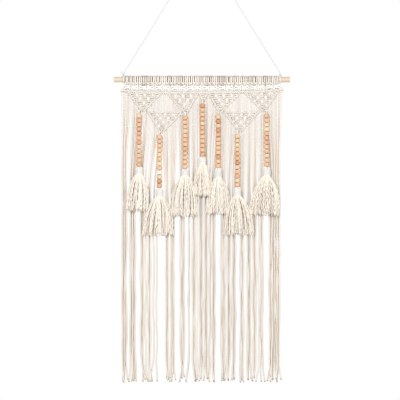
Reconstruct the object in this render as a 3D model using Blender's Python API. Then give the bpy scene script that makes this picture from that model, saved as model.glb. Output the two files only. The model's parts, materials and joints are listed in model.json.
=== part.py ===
"""Macrame wall hanging: a dowel on a tied string, knotted cotton nets, seven bead strings that end
in tassels, and a long cotton fringe.

Metres, +Z up. X runs along the dowel, the front faces -Y and the wall is on the +Y side. The origin
is the hanging point, on the inner side of the string's bend, where a nail or hook carries it.
Distances called a drop are measured down from the dowel's axis.
"""

import math

import bmesh
import bpy

# Fits
GAP = 0.0003
SLANT_GAP = 0.0010
FRINGE_SIDE_GAP = 0.0006
SWING_GAP = 0.0005

# Dowel
DOWEL_DROP = 0.334
DOWEL_BARE_END = 0.0207
DOWEL_RADIUS = 0.007
DOWEL_CHAMFER = 0.0006
DOWEL_SIDES = 24

# Hanger string: two loops on the dowel, each with its knot, and one string over the hook
HANGER_RADIUS = 0.0013
HANGER_SIDES_RESOLUTION = 2
HOOK_RADIUS = 0.003
HOOK_STEPS = 6
LOOP_WIDTH = 0.008
LOOP_THICKNESS = 0.0026
KNOT_TOP = 0.0155
KNOT_HALF_DEPTH = 0.0034

# Lark's heads round the dowel, narrower than the work below them
LARK_INSET = 0.0105
LARK_THICKNESS = 0.004
LARK_LIP_DROP = 0.0125

# Knotted work: its depth, the header row and the hitched bar below it
KNOT_FRONT = -0.004
KNOT_BACK = 0.004
HEADER_INSET = 0.0035
BAR_HEIGHT = 0.008
BAR_FRONT = -0.005
BAR_END_DROP = 0.0262
BAR_SAG = 0.007
BAR_TILT = 0.0014
BAR_COLUMNS = 24

# Nets. The upper row hangs from the bar, left to right: name, width, space after it, tip from its
# left side, tip drop, half width of the tip
UPPER_NETS = [
    ("net_upper_1", 0.0870, 0.0160, 0.0400, 0.083, 0.010),
    ("net_upper_2", 0.0790, 0.0005, 0.0470, 0.088, 0.010),
    ("net_centre", 0.0245, 0.0005, 0.0115, 0.057, 0.005),
    ("net_upper_3", 0.0815, 0.0110, 0.0295, 0.086, 0.010),
    ("net_upper_4", 0.0900, 0.0000, 0.0490, 0.083, 0.010),
]
# Strands that fall straight from the bar outside the first and the last net
EDGE_LEFT = 0.0155
EDGE_RIGHT = 0.0075
# The lower nets hang between two upper tips: name, tip from the first upper tip's right corner, tip
# drop, half width of the tip, the two upper nets
LOWER_NETS = [
    ("net_lower_left", 0.0370, 0.137, 0.010, "net_upper_1", "net_upper_2"),
    ("net_lower_right", 0.0410, 0.135, 0.010, "net_upper_3", "net_upper_4"),
]
NET_COLUMNS = 5

# Fringe: one cord deep, behind the tassels
FRINGE_CLEARANCE = 0.0007
FRINGE_DEPTH = 0.004
FRINGE_HINGE_DROP = 0.4130
FRINGE_DROP = 0.776
FRINGE_ROUND_STEPS = 6

# Bead strings
CORD_RADIUS = 0.001375
CORD_SIDES = 10
HITCH_RADIUS = 0.0027
HITCH_RISE = 0.0032
HITCH_STEPS = 5
BEAD_COUNT = 12
BEAD_RADIUS = 0.00625
BEAD_PITCH = 0.0113
BEAD_NECK_RADIUS = 0.0036
BEAD_SHOULDER = 0.0022
BEAD_SIDES = 12
BEAD_START = 0.0045

# Tassels
HEAD_RADIUS = 0.0092
HEAD_TOP_RADIUS = 0.0068
HEAD_WAIST_RADIUS = 0.0084
HEAD_BORE_DEPTH = 0.008
HEAD_CROWN = 0.004
HEAD_SIDES = 16
SKIRT_TOP_RADIUS = 0.0088
SKIRT_HALF_DEPTH = 0.0093
SKIRT_SIDES = 20
# Each string: the net that it hangs from, its place beside the middle of that net's tip, and its
# tassel's head length, skirt length, half width at the bottom and lean to the right
STRINGS = [
    ("net_upper_1", -0.0095, 0.0205, 0.0950, 0.0255, -0.0060),
    ("net_lower_left", -0.0045, 0.0230, 0.1000, 0.0345, -0.0050),
    ("net_upper_2", -0.0020, 0.0190, 0.1050, 0.0330, -0.0020),
    ("net_centre", -0.0015, 0.0200, 0.0830, 0.0220, -0.0015),
    ("net_upper_3", -0.0045, 0.0260, 0.0940, 0.0280, 0.0010),
    ("net_lower_right", -0.0065, 0.0230, 0.1010, 0.0350, 0.0040),
    ("net_upper_4", 0.0070, 0.0250, 0.1010, 0.0345, -0.0070),
]

COTTON = ("cotton", (0.86, 0.80, 0.71), 0.92)
DOWEL_WOOD = ("dowel_wood", (0.80, 0.60, 0.38), 0.55)
BEAD_WOOD = ("bead_wood", (0.78, 0.48, 0.25), 0.5)
HANGER_COTTON = ("hanger_cotton", (0.85, 0.84, 0.80), 0.9)


def clear_scene():
    for obj in list(bpy.data.objects):
        bpy.data.objects.remove(obj, do_unlink=True)


def material(kind):
    name, colour, roughness = kind
    found = bpy.data.materials.get(name)
    if found:
        return found
    made = bpy.data.materials.new(name)
    made.use_nodes = True
    shader = made.node_tree.nodes["Principled BSDF"]
    shader.inputs["Base Color"].default_value = (*colour, 1.0)
    shader.inputs["Roughness"].default_value = roughness
    shader.inputs["Metallic"].default_value = 0.0
    return made


def pivot(name, location, parent=None):
    empty = bpy.data.objects.new(name, None)
    empty.parent = parent
    empty.location = location
    bpy.context.scene.collection.objects.link(empty)
    return empty


def node(name, shape, kind, parent, location=(0.0, 0.0, 0.0), smooth=True):
    """Turns a bmesh into the named sub-part under its pivot."""
    bmesh.ops.recalc_face_normals(shape, faces=shape.faces)
    mesh = bpy.data.meshes.new(name)
    shape.to_mesh(mesh)
    shape.free()
    if smooth:
        mesh.shade_smooth()
        mesh.set_sharp_from_angle(angle=math.radians(35))
    mesh.materials.append(material(kind))
    obj = bpy.data.objects.new(name, mesh)
    obj.parent = parent
    obj.location = location
    bpy.context.scene.collection.objects.link(obj)
    return obj


def turned(profile, sides, closed=False):
    """Spins a profile of (radius, z) about Z. An open profile starts and ends on the axis."""
    shape = bmesh.new()
    points = [shape.verts.new((radius, 0.0, z)) for radius, z in profile]
    edges = [shape.edges.new(pair) for pair in zip(points, points[1:])]
    if closed:
        edges.append(shape.edges.new((points[-1], points[0])))
    bmesh.ops.spin(
        shape, geom=points + edges, cent=(0, 0, 0), axis=(0, 0, 1),
        angle=2 * math.pi, steps=sides, use_merge=True,
    )
    bmesh.ops.remove_doubles(shape, verts=shape.verts, dist=1e-6)
    return shape


def slab(outline, front, back):
    """A flat outline of (x, z) points, as thick as the distance from front to back along Y."""
    shape = bmesh.new()
    face = shape.faces.new([shape.verts.new((x, front, z)) for x, z in outline])
    grown = bmesh.ops.extrude_face_region(shape, geom=[face])
    moved = [part for part in grown["geom"] if isinstance(part, bmesh.types.BMVert)]
    bmesh.ops.translate(shape, verts=moved, vec=(0.0, back - front, 0.0))
    return shape


def lofted(rings, sides):
    """A closed skin over ellipses of (centre x, z, half width, half depth), top to bottom."""
    shape = bmesh.new()
    loops = []
    for centre, z, width, depth in rings:
        turn = [2 * math.pi * step / sides for step in range(sides)]
        loops.append([
            shape.verts.new((centre + width * math.cos(a), depth * math.sin(a), z)) for a in turn
        ])
    for upper, lower in zip(loops, loops[1:]):
        for i in range(sides):
            j = (i + 1) % sides
            shape.faces.new((upper[i], upper[j], lower[j], lower[i]))
    shape.faces.new(loops[0])
    shape.faces.new(loops[-1])
    return shape


def sleeve(x_from, x_to, inner, thickness, lip, lip_half_depth, lip_up):
    """A ring round the X axis with a flat-sided lip on its top or bottom."""
    shape = bmesh.new()
    rings = []
    for x in (x_from, x_to):
        outer_loop = []
        inner_loop = []
        for step in range(DOWEL_SIDES):
            angle = 2 * math.pi * step / DOWEL_SIDES
            across = math.sin(angle)
            along = math.cos(angle)
            reach = inner + thickness
            if along > 0:
                limit = lip_half_depth / abs(across) if across else lip
                reach = max(reach, min(lip / along, limit))
            side = 1 if lip_up else -1
            outer_loop.append(shape.verts.new((x, reach * across, side * reach * along)))
            inner_loop.append(shape.verts.new((x, inner * across, side * inner * along)))
        rings.append((outer_loop, inner_loop))
    (outer_a, inner_a), (outer_b, inner_b) = rings
    for i in range(DOWEL_SIDES):
        j = (i + 1) % DOWEL_SIDES
        shape.faces.new((outer_a[i], outer_a[j], outer_b[j], outer_b[i]))
        shape.faces.new((inner_a[i], inner_b[i], inner_b[j], inner_a[j]))
        shape.faces.new((outer_a[i], inner_a[i], inner_a[j], outer_a[j]))
        shape.faces.new((outer_b[i], outer_b[j], inner_b[j], inner_b[i]))
    return shape


def spread(first, last, count):
    """Evenly spaced values, both ends included."""
    return [first + (last - first) * step / (count - 1) for step in range(count)]


# Shared places, in x from the middle and in z under the dowel's axis

def bar_half_length():
    nets = sum(width + space for _name, width, space, _tip, _drop, _half in UPPER_NETS)
    return (EDGE_LEFT + nets + EDGE_RIGHT) / 2


def lark_half_length():
    return bar_half_length() - LARK_INSET


def loop_centre():
    """The string's loops sit on the dowel just outside the lark's heads."""
    return lark_half_length() + GAP + LOOP_WIDTH / 2


def dowel_length():
    return 2 * (loop_centre() + LOOP_WIDTH / 2 + DOWEL_BARE_END)


def bar_middle(x):
    """The hitched bar sags between its ends and rises a little to the right."""
    across = x / bar_half_length()
    return BAR_TILT * across - BAR_END_DROP - BAR_SAG * (1 - across ** 4)


def bar_top(x):
    return bar_middle(x) + BAR_HEIGHT / 2


def bar_bottom(x):
    return bar_middle(x) - BAR_HEIGHT / 2


def upper_net_sides():
    """Left and right side of each net of the upper row."""
    sides = {}
    left = EDGE_LEFT - bar_half_length()
    for name, width, space, _tip, _drop, _half in UPPER_NETS:
        sides[name] = (left, left + width)
        left += width + space
    return sides


def net_tips():
    """Each net's tip: left corner, right corner and drop."""
    tips = {}
    sides = upper_net_sides()
    for name, _width, _space, tip, drop, half in UPPER_NETS:
        middle = sides[name][0] + tip
        tips[name] = (middle - half, middle + half, drop)
    for name, tip, drop, half, first, _second in LOWER_NETS:
        middle = tips[first][1] + tip
        tips[name] = (middle - half, middle + half, drop)
    return tips


def knotted_edge():
    """The lower edge of the knotted work from left to right, as (x, z)."""
    tips = net_tips()
    hung = {row[4]: row[0] for row in LOWER_NETS}
    second_nets = {row[5] for row in LOWER_NETS}
    end = bar_half_length()
    edge = [(-end, bar_bottom(-end))]
    for name, (left, right) in upper_net_sides().items():
        if name not in second_nets:
            edge.append((left, bar_bottom(left)))
        for net in (name, hung.get(name)):
            if net:
                first, last, drop = tips[net]
                edge += [(first, -drop), (last, -drop)]
        if name not in hung:
            edge.append((right, bar_bottom(right)))
    edge.append((end, bar_bottom(end)))
    return edge


def edge_height(edge, x):
    for (x_a, z_a), (x_b, z_b) in zip(edge, edge[1:]):
        if x_a <= x <= x_b and x_b > x_a:
            return z_a + (z_b - z_a) * (x - x_a) / (x_b - x_a)
    return edge[-1][1]


def string_y():
    """The strings hang just in front of the nets, from hitches that lie on their front faces."""
    return KNOT_FRONT - GAP - HITCH_RADIUS


def fringe_front():
    """The fringe lies behind the deepest thing that hangs on a string."""
    return string_y() + max(HEAD_RADIUS, SKIRT_HALF_DEPTH, BEAD_RADIUS) + FRINGE_CLEARANCE


# Sub-parts

def make_dowel(parent):
    half = dowel_length() / 2
    shape = turned(
        [
            (0.0, half),
            (DOWEL_RADIUS - DOWEL_CHAMFER, half),
            (DOWEL_RADIUS, half - DOWEL_CHAMFER),
            (DOWEL_RADIUS, DOWEL_CHAMFER - half),
            (DOWEL_RADIUS - DOWEL_CHAMFER, -half),
            (0.0, -half),
        ],
        DOWEL_SIDES,
    )
    dowel = node("dowel", shape, DOWEL_WOOD, parent)
    dowel.rotation_euler = (0.0, math.pi / 2, 0.0)


def make_hanger_string(parent):
    """The string rises from each knot, straight, and bends over the hook at the origin."""
    foot_x = loop_centre()
    foot_z = KNOT_TOP - DOWEL_DROP
    slope = math.atan2(foot_x, -foot_z)
    foot_z += GAP + HANGER_RADIUS * math.sin(slope)
    bend = HOOK_RADIUS + HANGER_RADIUS
    half_turn = math.pi / 2 - slope
    points = [(-foot_x, foot_z)]
    for angle in spread(-half_turn, half_turn, HOOK_STEPS + 1):
        points.append((bend * math.sin(angle), bend * math.cos(angle) - HOOK_RADIUS))
    points.append((foot_x, foot_z))
    curve = bpy.data.curves.new("hanger_string", "CURVE")
    curve.dimensions = "3D"
    curve.bevel_depth = HANGER_RADIUS
    curve.bevel_resolution = HANGER_SIDES_RESOLUTION
    curve.use_fill_caps = True
    spline = curve.splines.new("POLY")
    spline.points.add(len(points) - 1)
    for point, (x, z) in zip(spline.points, points):
        point.co = (x, 0.0, z, 1.0)
    spline.use_smooth = True
    curve.materials.append(material(HANGER_COTTON))
    obj = bpy.data.objects.new("hanger_string", curve)
    obj.parent = parent
    bpy.context.scene.collection.objects.link(obj)


def make_hanger_loop(name, side, parent):
    half = LOOP_WIDTH / 2
    shape = sleeve(
        -half, half, DOWEL_RADIUS + GAP, LOOP_THICKNESS, KNOT_TOP, KNOT_HALF_DEPTH, lip_up=True
    )
    node(name, shape, HANGER_COTTON, parent, (side * loop_centre(), 0.0, -DOWEL_DROP))


def make_lark_heads(parent):
    shape = sleeve(
        -lark_half_length(), lark_half_length(), DOWEL_RADIUS + GAP, LARK_THICKNESS,
        LARK_LIP_DROP, -KNOT_FRONT, lip_up=False,
    )
    node("larks_heads", shape, COTTON, parent)


def make_header_row(parent):
    end = bar_half_length() - HEADER_INSET
    ends = (-end, end)
    outline = [(x, -LARK_LIP_DROP - GAP) for x in ends]
    outline += [(x, bar_top(x) + GAP) for x in spread(*reversed(ends), BAR_COLUMNS)]
    node("header_knots", slab(outline, KNOT_FRONT, KNOT_BACK), COTTON, parent, smooth=False)


def make_bar(parent):
    columns = spread(-bar_half_length(), bar_half_length(), BAR_COLUMNS)
    outline = [(x, bar_top(x)) for x in columns]
    outline += [(x, bar_bottom(x)) for x in reversed(columns)]
    node("hitched_bar", slab(outline, BAR_FRONT, KNOT_BACK), COTTON, parent, smooth=False)


def make_upper_net(name, left, right, parent):
    first, last, drop = net_tips()[name]
    outline = [(x, bar_bottom(x) - GAP) for x in spread(left, right, NET_COLUMNS)]
    outline += [(last, -drop), (first, -drop)]
    node(name, slab(outline, KNOT_FRONT, KNOT_BACK), COTTON, parent, smooth=False)


def make_lower_net(name, first, second, parent):
    """The net starts under the two upper tips that its border cords come from."""
    tips = net_tips()
    outline = [
        (tips[first][1] + GAP, -tips[first][2] - GAP),
        (tips[second][0] - GAP, -tips[second][2] - GAP),
        (tips[name][1], -tips[name][2]),
        (tips[name][0], -tips[name][2]),
    ]
    node(name, slab(outline, KNOT_FRONT, KNOT_BACK), COTTON, parent, smooth=False)


def make_gap_strands(name, first, second, parent):
    """Loose strands that fill the space between two upper nets, above the lower one."""
    sides = upper_net_sides()
    tips = net_tips()
    top_left = sides[first][1] + SLANT_GAP
    top_right = sides[second][0] - SLANT_GAP
    bottom_left = tips[first][1] + SLANT_GAP
    bottom_right = tips[second][0] - SLANT_GAP
    outline = [
        (top_left, bar_bottom(top_left) - SLANT_GAP),
        (top_right, bar_bottom(top_right) - SLANT_GAP),
        (bottom_right, -tips[second][2]),
        (bottom_left, -tips[first][2]),
    ]
    node(name, slab(outline, -FRINGE_DEPTH / 2, FRINGE_DEPTH / 2), COTTON, parent, smooth=False)


def fringe_splits():
    """The fringe parts under each tip, so every section is a group of strands with clear sides."""
    tips = net_tips()
    middles = sorted((first + last) / 2 for first, last, _drop in tips.values())
    return [-bar_half_length()] + middles + [bar_half_length()]


def fringe_sides():
    """Left and right side of each fringe section, with the running gap between neighbours."""
    splits = fringe_splits()
    half_gap = FRINGE_SIDE_GAP / 2
    return [(left + half_gap, right - half_gap) for left, right in zip(splits, splits[1:])]


def make_upper_fringe(number, left, right, parent):
    edge = knotted_edge()
    tops = [(left, edge_height(edge, left))]
    tops += [(x, z) for x, z in edge if left < x < right]
    tops.append((right, edge_height(edge, right)))
    outline = [(x, z - SLANT_GAP) for x, z in tops]
    bottom = -FRINGE_HINGE_DROP + FRINGE_DEPTH / 2 + SWING_GAP
    outline += [(right, bottom), (left, bottom)]
    shape = slab(outline, fringe_front(), fringe_front() + FRINGE_DEPTH)
    node("fringe_upper_%d" % number, shape, COTTON, parent, smooth=False)


def make_lower_fringe(number, left, right, parent):
    """A section that swings about its rounded top edge."""
    radius = FRINGE_DEPTH / 2
    length = FRINGE_DROP - FRINGE_HINGE_DROP
    outline = [
        (radius * math.cos(angle), radius * math.sin(angle))
        for angle in spread(0.0, math.pi, FRINGE_ROUND_STEPS + 1)
    ]
    outline += [(-radius, -length), (radius, -length)]
    half = (right - left) / 2
    shape = bmesh.new()
    face = shape.faces.new([shape.verts.new((-half, y, z)) for y, z in outline])
    grown = bmesh.ops.extrude_face_region(shape, geom=[face])
    moved = [part for part in grown["geom"] if isinstance(part, bmesh.types.BMVert)]
    bmesh.ops.translate(shape, verts=moved, vec=(2 * half, 0.0, 0.0))
    hinge = pivot(
        "fringe_%d_hinge" % number,
        ((left + right) / 2, fringe_front() + radius, -FRINGE_HINGE_DROP),
        parent,
    )
    node("fringe_lower_%d" % number, shape, COTTON, hinge, smooth=False)


def make_tassel_cord(number, bead_bottom, parent):
    """A hitch, turned about the string's pivot, and the cord that runs through the beads."""
    neck = math.asin(CORD_RADIUS / HITCH_RADIUS)
    profile = [(0.0, HITCH_RADIUS)]
    for angle in spread(0.0, math.pi - neck, HITCH_STEPS + 1)[1:]:
        profile.append((HITCH_RADIUS * math.sin(angle), HITCH_RADIUS * math.cos(angle)))
    end = bead_bottom - HEAD_BORE_DEPTH
    profile += [(CORD_RADIUS, end), (0.0, end)]
    node("tassel_cord_%d" % number, turned(profile, CORD_SIDES), COTTON, parent)


def make_beads(number, top, parent):
    """Twelve beads threaded tight, as one turned stack with a bore."""
    bore = CORD_RADIUS + GAP
    profile = [(bore, 0.0)]
    for bead in range(BEAD_COUNT):
        middle = -(bead + 0.5) * BEAD_PITCH
        profile.append((BEAD_NECK_RADIUS, middle + BEAD_PITCH / 2))
        profile.append((BEAD_RADIUS, middle + BEAD_SHOULDER))
        profile.append((BEAD_RADIUS, middle - BEAD_SHOULDER))
    profile.append((BEAD_NECK_RADIUS, -BEAD_COUNT * BEAD_PITCH))
    profile.append((bore, -BEAD_COUNT * BEAD_PITCH))
    shape = turned(profile, BEAD_SIDES, closed=True)
    node("beads_%d" % number, shape, BEAD_WOOD, parent, (0.0, 0.0, top))


def make_head(number, length, top, parent):
    """The wrapped head, with the hole that takes the end of its cord."""
    bore = CORD_RADIUS + GAP
    profile = [
        (0.0, -HEAD_BORE_DEPTH - GAP),
        (bore, -HEAD_BORE_DEPTH - GAP),
        (bore, 0.0),
        (HEAD_TOP_RADIUS, 0.0),
        (HEAD_RADIUS, -HEAD_CROWN),
        (HEAD_RADIUS, -length + HEAD_CROWN),
        (HEAD_WAIST_RADIUS, -length),
        (0.0, -length),
    ]
    shape = turned(profile, HEAD_SIDES)
    node("tassel_head_%d" % number, shape, COTTON, parent, (0.0, 0.0, top))


def make_skirt(number, length, half_width, lean, top, parent):
    rings = [
        (0.0, 0.0, SKIRT_TOP_RADIUS, SKIRT_TOP_RADIUS),
        (lean, -length, half_width, SKIRT_HALF_DEPTH),
    ]
    shape = lofted(rings, SKIRT_SIDES)
    node("tassel_skirt_%d" % number, shape, COTTON, parent, (0.0, 0.0, top))


def make_string(number, row, parent):
    net, beside, head_length, skirt_length, skirt_half_width, lean = row
    first, last, tip_drop = net_tips()[net]
    place = ((first + last) / 2 + beside, string_y(), HITCH_RISE - tip_drop)
    hang = pivot("string_%d_hang" % number, place, parent)
    bead_top = -HITCH_RISE - BEAD_START
    bead_bottom = bead_top - BEAD_COUNT * BEAD_PITCH
    head_top = bead_bottom - GAP
    skirt_top = head_top - head_length - GAP
    make_tassel_cord(number, head_top, hang)
    turn = pivot("beads_%d_turn" % number, (0.0, 0.0, 0.0), hang)
    make_beads(number, bead_top, turn)
    make_head(number, head_length, head_top, hang)
    make_skirt(number, skirt_length, skirt_half_width, lean, skirt_top, hang)


def build():
    clear_scene()
    hook = pivot("hanging_point", (0.0, 0.0, 0.0))
    make_hanger_string(hook)
    make_hanger_loop("hanger_loop_left", -1, hook)
    make_hanger_loop("hanger_loop_right", 1, hook)
    textile = pivot("textile_swing", (0.0, 0.0, -DOWEL_DROP), hook)
    make_dowel(textile)
    make_lark_heads(textile)
    make_header_row(textile)
    make_bar(textile)
    for name, (left, right) in upper_net_sides().items():
        make_upper_net(name, left, right, textile)
    for name, _tip, _drop, _half, first, second in LOWER_NETS:
        make_lower_net(name, first, second, textile)
        make_gap_strands(name.replace("net_lower", "gap_strands"), first, second, textile)
    for number, (left, right) in enumerate(fringe_sides(), 1):
        make_upper_fringe(number, left, right, textile)
        make_lower_fringe(number, left, right, textile)
    for number, row in enumerate(STRINGS, 1):
        make_string(number, row, textile)


build()
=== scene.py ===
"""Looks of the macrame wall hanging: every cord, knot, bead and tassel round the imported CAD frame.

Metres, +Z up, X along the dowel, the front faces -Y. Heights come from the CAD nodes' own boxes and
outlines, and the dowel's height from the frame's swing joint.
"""

import json
import math

import bpy
import numpy as np
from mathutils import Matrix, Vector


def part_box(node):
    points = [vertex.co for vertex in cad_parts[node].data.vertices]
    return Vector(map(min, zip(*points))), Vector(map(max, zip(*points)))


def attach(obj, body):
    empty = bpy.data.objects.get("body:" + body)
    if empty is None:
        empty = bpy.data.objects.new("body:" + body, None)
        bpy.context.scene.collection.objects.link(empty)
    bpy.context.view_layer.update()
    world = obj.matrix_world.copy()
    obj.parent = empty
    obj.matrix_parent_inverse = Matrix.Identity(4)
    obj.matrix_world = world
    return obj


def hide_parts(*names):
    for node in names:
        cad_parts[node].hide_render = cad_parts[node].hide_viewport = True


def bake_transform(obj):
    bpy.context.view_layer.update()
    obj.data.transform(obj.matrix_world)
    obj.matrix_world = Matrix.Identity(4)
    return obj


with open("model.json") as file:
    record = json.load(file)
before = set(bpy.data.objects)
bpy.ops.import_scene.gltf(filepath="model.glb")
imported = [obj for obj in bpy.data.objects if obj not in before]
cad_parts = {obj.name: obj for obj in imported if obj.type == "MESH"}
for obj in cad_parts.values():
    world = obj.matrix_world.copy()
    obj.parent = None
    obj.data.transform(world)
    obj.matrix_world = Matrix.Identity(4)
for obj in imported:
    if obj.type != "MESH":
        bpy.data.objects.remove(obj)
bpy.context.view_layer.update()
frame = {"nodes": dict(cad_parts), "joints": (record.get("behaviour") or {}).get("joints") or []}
rng = np.random.default_rng(20)

# Cotton cord: its diameter loose, pulled tight in a knot, in a hitch and in a lark's head, one turn of
# its plies, and how far each ply's middle lies from the cord's, as a share of its radius
CORD = 0.0042
TIGHT_CORD = 0.0033
HITCH_CORD = 0.0029
LARK_CORD = 0.0037
LAY = 0.0175
PLY_OFFSET = 0.36
# Length of a swept segment of a long cord, of a knot's short cord and of a tight loop
LONG_STEP = 0.0026
SHORT_STEP = 0.0012
FINE_STEP = 0.0008

JOINTS = {joint["name"]: joint for joint in frame["joints"]}
DOWEL_Z = JOINTS["textile_swing"]["pos_m"][2]
STRING_COUNT = 7

# Dowel: the rounding of its ends, and its tone at the left and at the right
DOWEL_EDGE = 0.0011
DOWEL_TONES = ((0.64, 0.565, 0.43), (0.66, 0.53, 0.41))

# Hanger string: its diameter and lay, the turns of each loop round the dowel, and the height of the
# loop's knot over the dowel's axis
HANGER_CORD = 0.0024
HANGER_LAY = 0.0085
LOOP_TURNS = 3
LOOP_KNOT_RISE = 0.0112
# Tails of the left loop's knot: reach to the side, rise, and lean to the front
KNOT_TAILS = ((-0.0085, 0.0085, -0.0012), (-0.0045, 0.0105, -0.0020))

# Lark's heads: half the distance between a head's two legs, and the thin dark strands under them,
# which are painted shade on the dowel in the gaps
LARK_COUNT = 40
LARK_SPREAD = 0.0024
SHADE_STRAND_CORD = 0.0021

# Flat knots: places across a row and down a net, and the first row under the net's corners
KNOT_PITCH = 0.0200
KNOT_ROW = 0.0104
KNOT_ROWS = 4
FIRST_ROW_DROP = 0.0048
# The header's row of knots, as a share of the bar's width, and its larger knots
HEADER_KNOTS = 20
HEADER_SHARE = 0.98
HEADER_KNOT_SCALE = 1.24
# The small knot over each net's tip
TIP_KNOT_SCALE = 0.86
TIP_KNOT_RISE = 0.0100

# Rows of hitches: one wrap after the other, the (height, depth) of the bar and of a net's border, and
# how far a border's middle lies inside the net's outline
HITCH_PITCH = 0.00258
BAR_SIZE = (0.0094, 0.0090)
BORDER_SIZE = (0.0064, 0.0082)
BORDER_INSET = 0.0022

# Fringe: how far down the strands gather into bunches, how far up their ends splay, and half the
# length of the bend at a hinge
STRAND_COUNT = 80
GATHER = 0.19
SPLAY_LENGTH = 0.055
# Front strands of each section that are made pieces of their own, as many as may be
DECLARED_STRANDS = 4
# Bunches of the fringe in each section, left to right: middle, distance from the first to the last
# strand, and the strands in front and behind
BUNCHES = [
    [(-0.1989, 0.0100, 3, 2), (-0.1772, 0.0122, 3, 3)],
    [(-0.1440, 0.0245, 5, 2), (-0.1196, 0.0078, 2, 0)],
    [(-0.0895, 0.0060, 2, 2), (-0.0752, 0.0072, 2, 2), (-0.0504, 0.0085, 2, 2)],
    [(-0.0331, 0.0025, 1, 1), (-0.0115, 0.0253, 5, 2)],
    [(0.0202, 0.0253, 5, 3)],
    [(0.0537, 0.0098, 2, 2), (0.0752, 0.0190, 4, 2)],
    [(0.1023, 0.0070, 2, 1), (0.1273, 0.0214, 4, 2), (0.1504, 0.0100, 2, 1)],
    [(0.1859, 0.0252, 5, 4)],
]
# Back strands lie this far behind the front ones
LAYER_STEP = 0.0031

# Bead strings
BEADS_PER_STRING = 12
BEAD_BORE = 0.0021
BEAD_SIDES = 28
# Tones of the turned beads
TONES = [
    (0.76, 0.46, 0.26), (0.72, 0.41, 0.23), (0.78, 0.52, 0.32), (0.74, 0.44, 0.27), (0.80, 0.59, 0.38),
    (0.80, 0.62, 0.41), (0.62, 0.31, 0.15), (0.77, 0.50, 0.32), (0.77, 0.53, 0.31),
]
# The one pale bead: its string, its place from the top, and its tone
PALE_STRING, PALE_BEAD = 2, 8
PALE_TONE = (0.93, 0.84, 0.72)
CORE_CORD = 0.00275
BEAD_HITCH_CORD = 0.0022

# Tassels: the head's wrapping cord, and the skirt's strands with their half width at the head
HEAD_WRAP = 0.0023
SKIRT_STRANDS = 124
SKIRT_CORD = 0.0024
SKIRT_TOP_HALF = 0.0078
GOLDEN_ANGLE = 2.39996

# Light of the studio's white surroundings, and the power of the lamps
WORLD_LIGHT = 0.60
KEY_POWER = 62
FILL_POWER = 24
LAMP_COLOUR = (1.0, 0.99, 0.97)

# Camera: the middle and the width of what it sees, and how far away it stands
VIEW_MIDDLE = (-0.005, 0.0, -0.6420)
VIEW_SPAN = 1.023
VIEW_DISTANCE = 4.5
SENSOR_WIDTH = 36.0


# ---------------------------------------------------------------- cords

def smooth_line(points, step):
    """Points about a step apart on one smooth curve through the route's own points."""
    route = np.array(points, float)
    padded = np.vstack([2 * route[0] - route[1], route, 2 * route[-1] - route[-2]])
    t = np.linspace(0, 1, 12, endpoint=False)[:, None]
    pieces = [
        0.5 * (2 * b + (c - a) * t + (2 * a - 5 * b + 4 * c - d) * t ** 2
               + (3 * b - a - 3 * c + d) * t ** 3)
        for a, b, c, d in zip(padded, padded[1:], padded[2:], padded[3:])
    ]
    line = np.vstack(pieces + [route[-1:]])
    run = np.r_[0, np.cumsum(np.linalg.norm(np.diff(line, axis=0), axis=1))]
    at = np.linspace(0, run[-1], max(3, round(run[-1] / step) + 1))
    return np.stack([np.interp(at, run, line[:, axis]) for axis in range(3)], 1)


def length_of(line):
    return float(np.linalg.norm(np.diff(line, axis=0), axis=1).sum())


def unit(vectors):
    return vectors / np.linalg.norm(vectors, axis=-1, keepdims=True)


def frames_along(line):
    """Two directions across the line at each point, which never spin round it."""
    tangent = unit(np.gradient(line, axis=0))
    across = np.cross(tangent[0], (0.0, 1.0, 0.0))
    if np.linalg.norm(across) < 0.3:
        across = np.cross(tangent[0], (1.0, 0.0, 0.0))
    side = np.empty_like(line)
    for i, along in enumerate(tangent):
        across = across - (across @ along) * along
        across = across / math.sqrt(across @ across)
        side[i] = across
    return tangent, side, np.cross(tangent, side)


def ply_section(sides, offset=PLY_OFFSET):
    """Radius round a cord of three plies, 1 at each ply's crest, and how far each place is a crest."""
    from_crest = (np.arange(sides) / sides * 3 + 0.5) % 1 - 0.5
    angle = from_crest * 2 * math.pi / 3
    ply = 1 - offset
    radius = offset * np.cos(angle) + np.sqrt(ply ** 2 - (offset * np.sin(angle)) ** 2)
    return radius, (radius - radius.min()) / max(np.ptp(radius), 1e-9)


def cord_faces(count, sides):
    """Quads round a swept cord of so many rings, and the triangles of its two end caps."""
    i = np.arange(count - 1)[:, None] * sides
    k = np.arange(sides)
    n = (k + 1) % sides
    quads = np.stack([i + k, i + n, i + n + sides, i + k + sides], -1).reshape(-1, 4)
    last = (count - 1) * sides
    first_cap = np.stack([n, k, np.full(sides, count * sides)], 1)
    last_cap = np.stack([last + k, last + n, np.full(sides, count * sides + 1)], 1)
    return quads, np.vstack([first_cap, last_cap])


def cord_uv(around, along, tip):
    """Where each corner of those faces lies on the fibres, in metres round and along the cord."""
    i, k = np.meshgrid(np.arange(len(along) - 1), np.arange(len(around) - 1), indexing="ij")
    corners = [(k, i), (k + 1, i), (k + 1, i + 1), (k, i + 1)]
    quad_uv = np.stack([np.stack([around[a], along[b]], -1) for a, b in corners], 2).reshape(-1, 4, 2)
    cap = np.array([[0, 0], [tip, 0], [tip / 2, tip]]) + along[0]
    return quad_uv, np.tile(cap, (2 * (len(around) - 1), 1, 1))


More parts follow.
